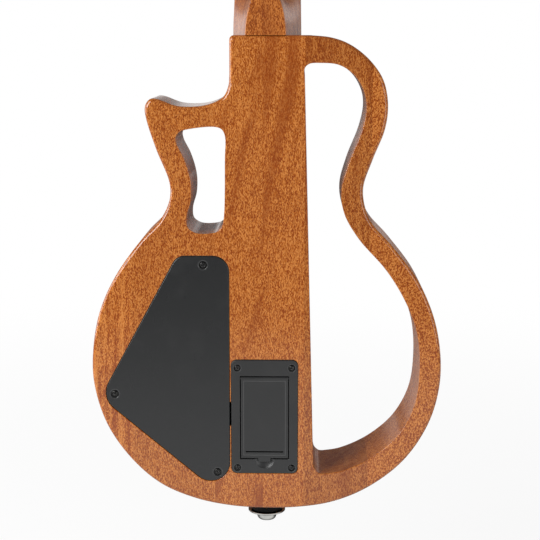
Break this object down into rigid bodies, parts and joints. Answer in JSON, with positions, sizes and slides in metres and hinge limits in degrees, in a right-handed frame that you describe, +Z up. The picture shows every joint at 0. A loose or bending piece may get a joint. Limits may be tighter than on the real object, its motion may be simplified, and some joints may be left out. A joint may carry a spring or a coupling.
{
  "type": "electro-acoustic ukulele",
  "caption": "Electro-acoustic ukulele with a see-through framed wood body, long neck, geared tuners, back control cover, hinged battery box and endpin jack.",
  "frame": {"origin": "on the centre line at the nut, where a hanger's yoke takes the neck under the headstock", "axes": "+Z up the neck towards the headstock, +Y out of the string side, +X to the right as seen from the back"},
  "size_m": [0.2225, 0.0639, 0.6785],
  "materials": {
    "body_wood": "satin lacquer",
    "dark_wood": "oiled",
    "bone": "polished",
    "black_plastic": "fine satin texture",
    "knob_plastic": "gloss",
    "black_steel": "blackened",
    "chrome": "polished",
    "pearl": "pearl",
    "nylon": "clear nylon",
    "circuit_board": "solder mask",
    "battery_case": "printed steel",
    "lead_sheath": "matte"
  },
  "bodies": {
    "body": {"body_left": "body_wood", "body_centre": "body_wood", "body_right": "body_wood", "neck": "body_wood", "fingerboard": "dark_wood", "bridge": "dark_wood", "nut": "bone", "saddle": "bone", "piezo_strip": "black_steel", "control_cover": "black_plastic", "battery_box": "black_plastic", "jack_collar": "black_plastic", "battery_9v": "battery_case", "battery_contacts": "chrome", "volume_pot": "chrome", "tone_pot": "chrome", "volume_pot_nut": "chrome", "tone_pot_nut": "chrome", "preamp_board": "circuit_board", "jack_barrel": "chrome", "jack_washer": "chrome", "jack_nut": "chrome", "battery_lead": "lead_sheath", "jack_lead": "lead_sheath", "pickup_lead": "lead_sheath", "cover_screw_1": "black_steel", "cover_screw_2": "black_steel", "cover_screw_3": "black_steel", "box_screw_1": "black_steel", "string_1": "nylon", "tuner_1_housing": "chrome", "tuner_1_bushing": "chrome", "box_screw_2": "black_steel", "string_2": "nylon", "tuner_2_housing": "chrome", "tuner_2_bushing": "chrome", "box_screw_3": "black_steel", "string_3": "nylon", "tuner_3_housing": "chrome", "tuner_3_bushing": "chrome", "box_screw_4": "black_steel", "string_4": "nylon", "tuner_4_housing": "chrome", "tuner_4_bushing": "chrome"},
    "volume_knob": {"volume_knob": "knob_plastic"},
    "tone_knob": {"tone_knob": "knob_plastic"},
    "battery_door": {"battery_door": "black_plastic"},
    "tuner_1_button": {"tuner_1_button": "pearl"},
    "tuner_1_post": {"tuner_1_post": "chrome"},
    "tuner_2_button": {"tuner_2_button": "pearl"},
    "tuner_2_post": {"tuner_2_post": "chrome"},
    "tuner_3_button": {"tuner_3_button": "pearl"},
    "tuner_3_post": {"tuner_3_post": "chrome"},
    "tuner_4_button": {"tuner_4_button": "pearl"},
    "tuner_4_post": {"tuner_4_post": "chrome"}
  },
  "joints": [
    {"name": "tuner_1_button_turn", "type": "hinge", "parent": "body", "child": "tuner_1_button", "pos_m": [-0.021, -0.02109, 0.0305], "axis": [1, 0, 0], "continuous": true},
    {"name": "tuner_1_post_turn", "type": "hinge", "parent": "body", "child": "tuner_1_post", "pos_m": [-0.021, -0.00405, 0.04203], "axis": [0, 0.9744, 0.225], "continuous": true},
    {"name": "tuner_2_button_turn", "type": "hinge", "parent": "body", "child": "tuner_2_button", "pos_m": [-0.021, -0.02919, 0.06557], "axis": [1, 0, 0], "continuous": true},
    {"name": "tuner_2_post_turn", "type": "hinge", "parent": "body", "child": "tuner_2_post", "pos_m": [-0.021, -0.01215, 0.0771], "axis": [0, 0.9744, 0.225], "continuous": true},
    {"name": "tuner_3_button_turn", "type": "hinge", "parent": "body", "child": "tuner_3_button", "pos_m": [0.021, -0.02919, 0.06557], "axis": [1, 0, 0], "continuous": true},
    {"name": "tuner_3_post_turn", "type": "hinge", "parent": "body", "child": "tuner_3_post", "pos_m": [0.021, -0.01215, 0.0771], "axis": [0, 0.9744, 0.225], "continuous": true},
    {"name": "tuner_4_button_turn", "type": "hinge", "parent": "body", "child": "tuner_4_button", "pos_m": [0.021, -0.02109, 0.0305], "axis": [1, 0, 0], "continuous": true},
    {"name": "tuner_4_post_turn", "type": "hinge", "parent": "body", "child": "tuner_4_post", "pos_m": [0.021, -0.00405, 0.04203], "axis": [0, 0.9744, 0.225], "continuous": true},
    {"name": "volume_turn", "type": "hinge", "parent": "body", "child": "volume_knob", "pos_m": [-0.04506, 0.0045, -0.45645], "axis": [0, 1, 0], "range_deg": [0, 300]},
    {"name": "tone_turn", "type": "hinge", "parent": "body", "child": "tone_knob", "pos_m": [-0.06909, 0.0045, -0.45645], "axis": [0, 1, 0], "range_deg": [0, 300]},
    {"name": "battery_door_swing", "type": "hinge", "parent": "body", "child": "battery_door", "pos_m": [-0.0008, -0.0448, -0.45406], "axis": [-1, 0, 0], "range_deg": [0, 100]}
  ],
  "couplings": [
    {"joint": "tuner_1_post_turn", "follows": "tuner_1_button_turn", "ratio": -0.071429},
    {"joint": "tuner_2_post_turn", "follows": "tuner_2_button_turn", "ratio": -0.071429},
    {"joint": "tuner_3_post_turn", "follows": "tuner_3_button_turn", "ratio": 0.071429},
    {"joint": "tuner_4_post_turn", "follows": "tuner_4_button_turn", "ratio": 0.071429}
  ]
}
